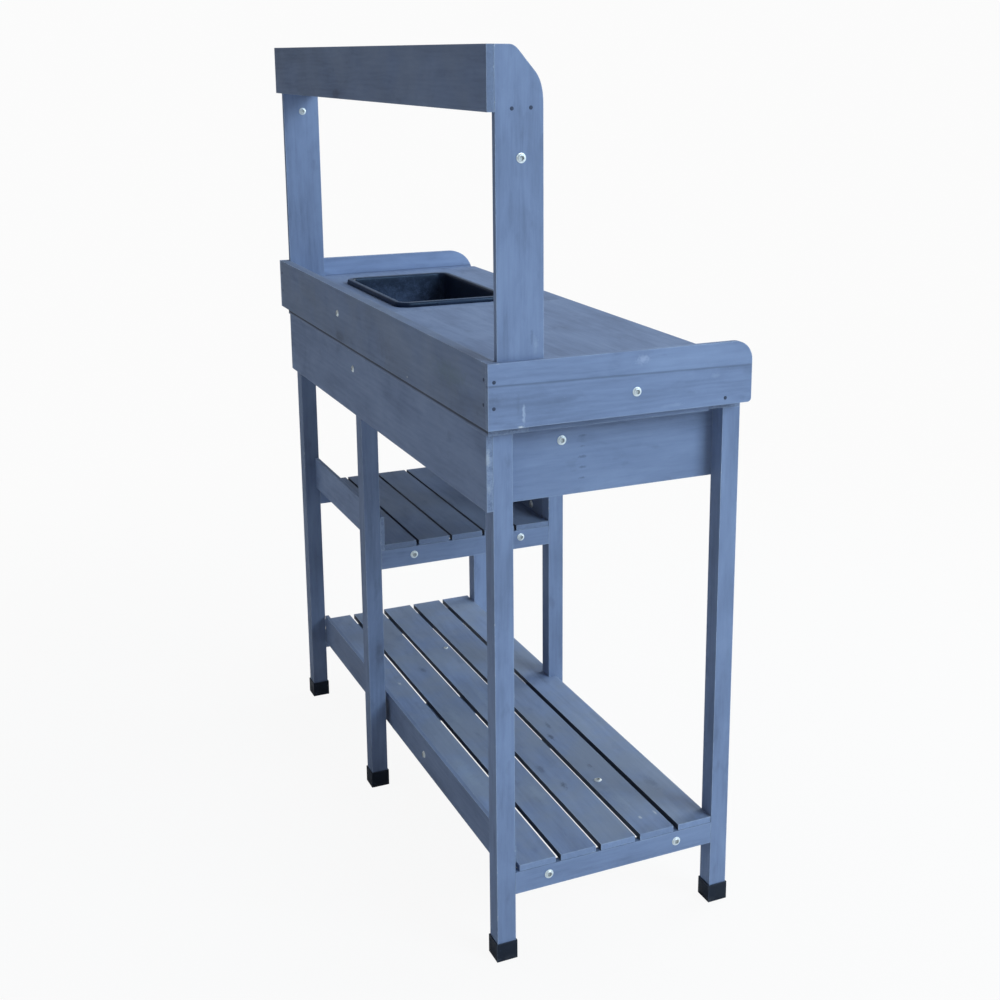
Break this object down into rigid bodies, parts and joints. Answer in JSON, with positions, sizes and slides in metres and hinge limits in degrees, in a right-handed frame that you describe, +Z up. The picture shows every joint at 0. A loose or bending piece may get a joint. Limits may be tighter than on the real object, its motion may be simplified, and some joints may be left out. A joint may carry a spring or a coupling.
{
  "type": "potting bench",
  "caption": "Wooden potting bench with a boxed work surface, lift-out basin, slatted shelves and a rail on two uprights.",
  "frame": {"origin": "on the floor, under the middle of the bench's box", "axes": "+Z up; +X along the bench towards the end that has the upper shelf and the basin; -Y towards the person who works at the bench"},
  "size_m": [1.1266, 0.4244, 1.363],
  "materials": {
    "stained_wood": "blue-grey stain on fine-grained softwood, matt",
    "basin_plastic": "black moulded plastic, satin",
    "foot_rubber": "black rubber, matt",
    "zinc": "zinc plated, satin"
  },
  "bodies": {
    "bench": {"apron_back": "stained_wood", "apron_front": "stained_wood", "apron_left": "stained_wood", "apron_right": "stained_wood", "back_panel": "stained_wood", "end_panel_bolt_left": "zinc", "end_panel_bolt_right": "zinc", "end_panel_left": "stained_wood", "end_panel_right": "stained_wood", "foot_cap_back_left": "foot_rubber", "foot_cap_back_middle": "foot_rubber", "foot_cap_back_right": "foot_rubber", "foot_cap_front_left": "foot_rubber", "foot_cap_front_middle": "foot_rubber", "foot_cap_front_right": "foot_rubber", "leg_back_left": "stained_wood", "leg_back_middle": "stained_wood", "leg_back_right": "stained_wood", "leg_front_left": "stained_wood", "leg_front_middle": "stained_wood", "leg_front_right": "stained_wood", "lower_cross_rail_left": "stained_wood", "lower_cross_rail_middle": "stained_wood", "lower_cross_rail_right": "stained_wood", "lower_guard": "stained_wood", "lower_left_bearer_back": "stained_wood", "lower_left_bearer_front": "stained_wood", "lower_slat_1": "stained_wood", "lower_slat_2": "stained_wood", "lower_slat_3": "stained_wood", "lower_slat_4": "stained_wood", "lower_slat_5": "stained_wood", "table_batten_left": "stained_wood", "table_batten_middle": "stained_wood", "table_batten_right": "stained_wood", "table_board_left": "stained_wood", "table_board_right": "stained_wood", "table_frame_back": "stained_wood", "table_frame_front": "stained_wood", "table_frame_left": "stained_wood", "table_frame_right": "stained_wood", "table_front": "stained_wood", "top_rail": "stained_wood", "top_shelf": "stained_wood", "upper_bearer_back": "stained_wood", "upper_bearer_front": "stained_wood", "upper_cross_rail_left": "stained_wood", "upper_cross_rail_right": "stained_wood", "upper_guard_back": "stained_wood", "upper_guard_front": "stained_wood", "upper_slat_1": "stained_wood", "upper_slat_2": "stained_wood", "upper_slat_3": "stained_wood", "upper_slat_4": "stained_wood", "upper_slat_5": "stained_wood", "upright_bolt_left": "zinc", "upright_bolt_right": "zinc", "upright_left": "stained_wood", "upright_right": "stained_wood"},
    "basin": {"sink_basin": "basin_plastic"}
  },
  "joints": [
    {"name": "basin_lift", "type": "slide", "parent": "bench", "child": "basin", "axis": [0, 0, 1], "range_m": [0, 0.2]}
  ]
}
